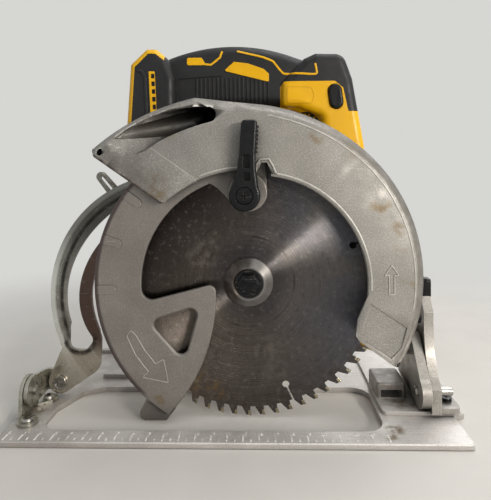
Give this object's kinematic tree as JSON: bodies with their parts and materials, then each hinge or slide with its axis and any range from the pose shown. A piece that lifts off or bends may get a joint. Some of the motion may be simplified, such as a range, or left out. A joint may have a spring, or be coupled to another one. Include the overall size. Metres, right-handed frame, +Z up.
{
  "type": "cordless circular saw",
  "caption": "Hand-held battery circular saw with a cast blade guard, swinging lower guard, tilting shoe, depth bracket and rear battery rails.",
  "frame": {"origin": "on the sole of the shoe, straight below the arbor, in the middle plane of the blade", "axes": "+X to the front of the saw, +Y from the blade to the motor, +Z up"},
  "size_m": [0.303, 0.1535, 0.2636],
  "materials": {
    "cast_shoe": "cast and ground",
    "cast_guard": "sand-textured casting",
    "lower_cast": "cast, worn",
    "gear_cast": "die cast",
    "zinc_sheet": "zinc plated sheet",
    "bright_steel": "turned",
    "blade_steel": "ground plate",
    "carbide": "ground carbide",
    "black_steel": "black oxide",
    "yellow_abs": "moulded, fine grain",
    "black_abs": "moulded",
    "black_rubber": "overmoulded",
    "bronze": "sintered",
    "copper": "drawn",
    "laminations": "stacked sheet",
    "clear_lens": "clear moulding"
  },
  "bodies": {
    "shoe": {"shoe": "cast_shoe", "bevel_quadrant": "cast_shoe", "quadrant_screws": "bright_steel", "bevel_pin": "bright_steel", "rear_bracket": "zinc_sheet", "rear_rivets": "bright_steel", "rear_bevel_rivet": "bright_steel"},
    "bevel_cradle": {"front_trunnion": "cast_shoe", "depth_pivot_pin": "bright_steel", "bevel_stud": "bright_steel", "bevel_washer": "bright_steel", "rear_link": "zinc_sheet", "bracket_rivet": "bright_steel"},
    "bevel_lever": {"bevel_lever": "black_abs"},
    "depth_bracket": {"depth_bracket": "zinc_sheet"},
    "saw_body": {"upper_guard": "cast_guard", "chute_nose": "cast_guard", "clamp_bolt": "bright_steel", "clamp_washer": "bright_steel", "bearing_plate": "gear_cast", "gear_case": "gear_cast", "spindle_bearing": "bright_steel", "spindle_bush": "bronze", "motor_bearings": "bright_steel", "motor_housing": "yellow_abs", "end_cap": "black_abs", "stator": "laminations", "right_rubber": "black_rubber", "right_shell": "yellow_abs", "left_rubber": "black_rubber", "left_shell": "yellow_abs", "handle_screws": "black_steel", "switch_body": "black_abs", "control_module": "black_abs", "terminal_block": "black_abs", "contact_blades": "copper", "cap_screws": "black_steel", "case_screws": "bright_steel", "work_light": "yellow_abs", "light_lens": "clear_lens", "guard_ring": "bright_steel", "guard_spring": "bright_steel"},
    "spindle": {"spindle": "bright_steel", "blade": "blade_steel", "blade_tips": "carbide", "outer_flange": "bright_steel", "blade_bolt": "black_steel", "inner_flange": "bright_steel", "drive_gear": "bright_steel"},
    "rotor": {"motor_shaft": "bright_steel", "rotor_core": "laminations", "cooling_fan": "black_abs"},
    "lower_guard": {"lower_guard": "lower_cast", "guard_lever": "black_abs", "lever_screw": "black_steel"},
    "trigger": {"trigger": "black_abs"},
    "lock_off": {"lock_off": "black_abs"},
    "lock_button": {"lock_button": "black_abs"},
    "depth_lever": {"depth_lever": "zinc_sheet"}
  },
  "joints": [
    {"name": "bevel", "type": "hinge", "parent": "shoe", "child": "bevel_cradle", "pos_m": [0, 0, 0.019], "axis": [1, 0, 0], "range_deg": [0, 45]},
    {"name": "bevel_lever_swing", "type": "hinge", "parent": "bevel_cradle", "child": "bevel_lever", "pos_m": [0.13, 0.0435, 0.03929], "axis": [1, 0, 0], "range_deg": [0, 40]},
    {"name": "bracket_swing", "type": "hinge", "parent": "bevel_cradle", "child": "depth_bracket", "pos_m": [-0.141, 0.0215, 0.015], "axis": [0, -1, 0], "range_deg": [-36, 0]},
    {"name": "depth", "type": "hinge", "parent": "bevel_cradle", "child": "saw_body", "pos_m": [0.112, 0.026, 0.045], "axis": [0, -1, 0], "range_deg": [0, 31.62]},
    {"name": "blade_spin", "type": "hinge", "parent": "saw_body", "child": "spindle", "pos_m": [0, 0, 0.094], "axis": [0, -1, 0], "continuous": true},
    {"name": "rotor_spin", "type": "hinge", "parent": "saw_body", "child": "rotor", "pos_m": [0.0086, 0.06, 0.11528], "axis": [0, -1, 0], "continuous": true},
    {"name": "guard_swing", "type": "hinge", "parent": "saw_body", "child": "lower_guard", "pos_m": [0, 0, 0.094], "axis": [0, 1, 0], "range_deg": [-60, 75], "stiffness_Nm_per_rad": 0.15, "springref_deg": -137.51},
    {"name": "trigger_pull", "type": "slide", "parent": "saw_body", "child": "trigger", "axis": [0, 0, 1], "range_m": [0, 0.006], "stiffness_N_per_m": 1200, "springref_m": -0.003},
    {"name": "lock_off_press", "type": "slide", "parent": "saw_body", "child": "lock_off", "axis": [0, 1, 0], "range_m": [0, 0.0022], "stiffness_N_per_m": 1000, "springref_m": -0.002},
    {"name": "spindle_lock_press", "type": "slide", "parent": "saw_body", "child": "lock_button", "axis": [-0.9903, 0, -0.1392], "range_m": [0, 0.0035], "stiffness_N_per_m": 1000, "springref_m": -0.002},
    {"name": "depth_lever_swing", "type": "hinge", "parent": "saw_body", "child": "depth_lever", "pos_m": [-0.0821, 0.028, 0.1455], "axis": [0, -1, 0], "range_deg": [0, 30]}
  ],
  "couplings": [
    {"joint": "bracket_swing", "follows": "depth", "ratio": -1.133},
    {"joint": "rotor_spin", "follows": "blade_spin", "ratio": -4.6667}
  ]
}
